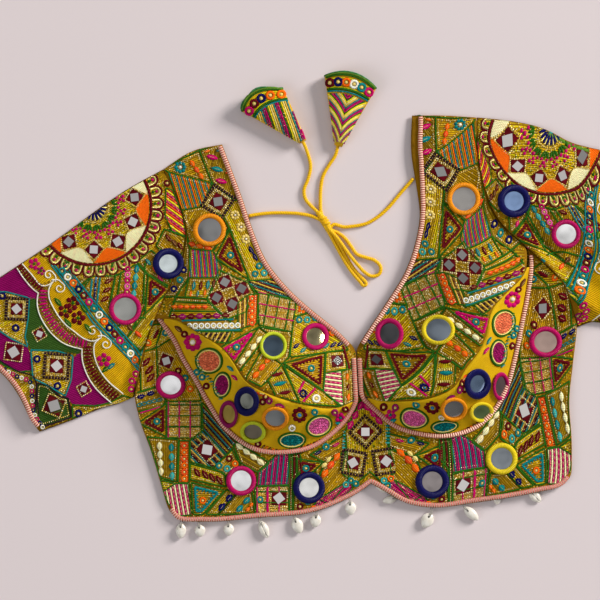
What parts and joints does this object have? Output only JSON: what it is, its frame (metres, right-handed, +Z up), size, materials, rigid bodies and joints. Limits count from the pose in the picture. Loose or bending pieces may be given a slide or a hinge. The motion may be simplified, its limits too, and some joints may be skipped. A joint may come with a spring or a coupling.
{
  "type": "choli blouse",
  "caption": "Short fitted choli blouse laid flat: cupped front, deep V neck, elbow sleeves, scalloped hem with cowries, ring mirrors, piping and a tie cord with cloth tassels.",
  "frame": {"origin": "on the surface that the blouse lies on, under the middle of the blouse's box without its tie cord and tassels", "axes": "+X across the blouse to the right as it is seen, +Y towards the shoulders, +Z up out of the surface"},
  "size_m": [0.7848, 0.467, 0.0471],
  "materials": {
    "front_cloth": "embroidered cotton satin, mustard yellow ground",
    "cup_cloth": "embroidered cotton satin with oval stitched discs",
    "band_cloth": "embroidered cotton satin in patches",
    "back_cloth": "plain yellow cotton satin",
    "sleeve_cloth": "embroidered cotton satin with bands of rings",
    "piping": "cord wrapped in pink, white and red thread",
    "dori_cord": "rolled satin cord",
    "tassel_cloth": "embroidered cloth, striped",
    "cowrie_shell": "glossy white shell",
    "ring_mirror": "dull silvered glass in a thread ring"
  },
  "bodies": {
    "root": {"front_upper_left": "front_cloth", "front_upper_right": "front_cloth", "cup_lower_left": "cup_cloth", "cup_lower_right": "cup_cloth", "waist_band": "band_cloth", "back_left": "back_cloth", "back_right": "back_cloth", "sleeve_left": "sleeve_cloth", "sleeve_right": "sleeve_cloth", "neck_trim_left": "piping", "neck_trim_right": "piping", "cup_trim_left": "piping", "cup_trim_right": "piping", "hem_trim": "piping", "sleeve_trim_left": "piping", "sleeve_trim_right": "piping", "dori_left": "dori_cord", "dori_right": "dori_cord", "dori_bow": "dori_cord", "dori_tail_left": "dori_cord", "dori_tail_right": "dori_cord", "tassel_left": "tassel_cloth", "tassel_right": "tassel_cloth", "cowrie_01": "cowrie_shell", "cowrie_02": "cowrie_shell", "cowrie_03": "cowrie_shell", "cowrie_04": "cowrie_shell", "cowrie_05": "cowrie_shell", "cowrie_06": "cowrie_shell", "cowrie_07": "cowrie_shell", "cowrie_08": "cowrie_shell", "cowrie_09": "cowrie_shell", "cowrie_10": "cowrie_shell", "cowrie_11": "cowrie_shell", "cowrie_12": "cowrie_shell", "cowrie_13": "cowrie_shell", "mirror_01": "ring_mirror", "mirror_02": "ring_mirror", "mirror_03": "ring_mirror", "mirror_04": "ring_mirror", "mirror_05": "ring_mirror", "mirror_06": "ring_mirror", "mirror_07": "ring_mirror", "mirror_08": "ring_mirror", "mirror_09": "ring_mirror", "mirror_10": "ring_mirror", "mirror_11": "ring_mirror", "mirror_12": "ring_mirror", "mirror_13": "ring_mirror", "mirror_14": "ring_mirror", "mirror_15": "ring_mirror", "mirror_16": "ring_mirror", "mirror_17": "ring_mirror", "mirror_18": "ring_mirror", "mirror_19": "ring_mirror", "mirror_20": "ring_mirror", "mirror_21": "ring_mirror", "mirror_22": "ring_mirror", "mirror_23": "ring_mirror", "mirror_24": "ring_mirror"}
  },
  "joints": []
}
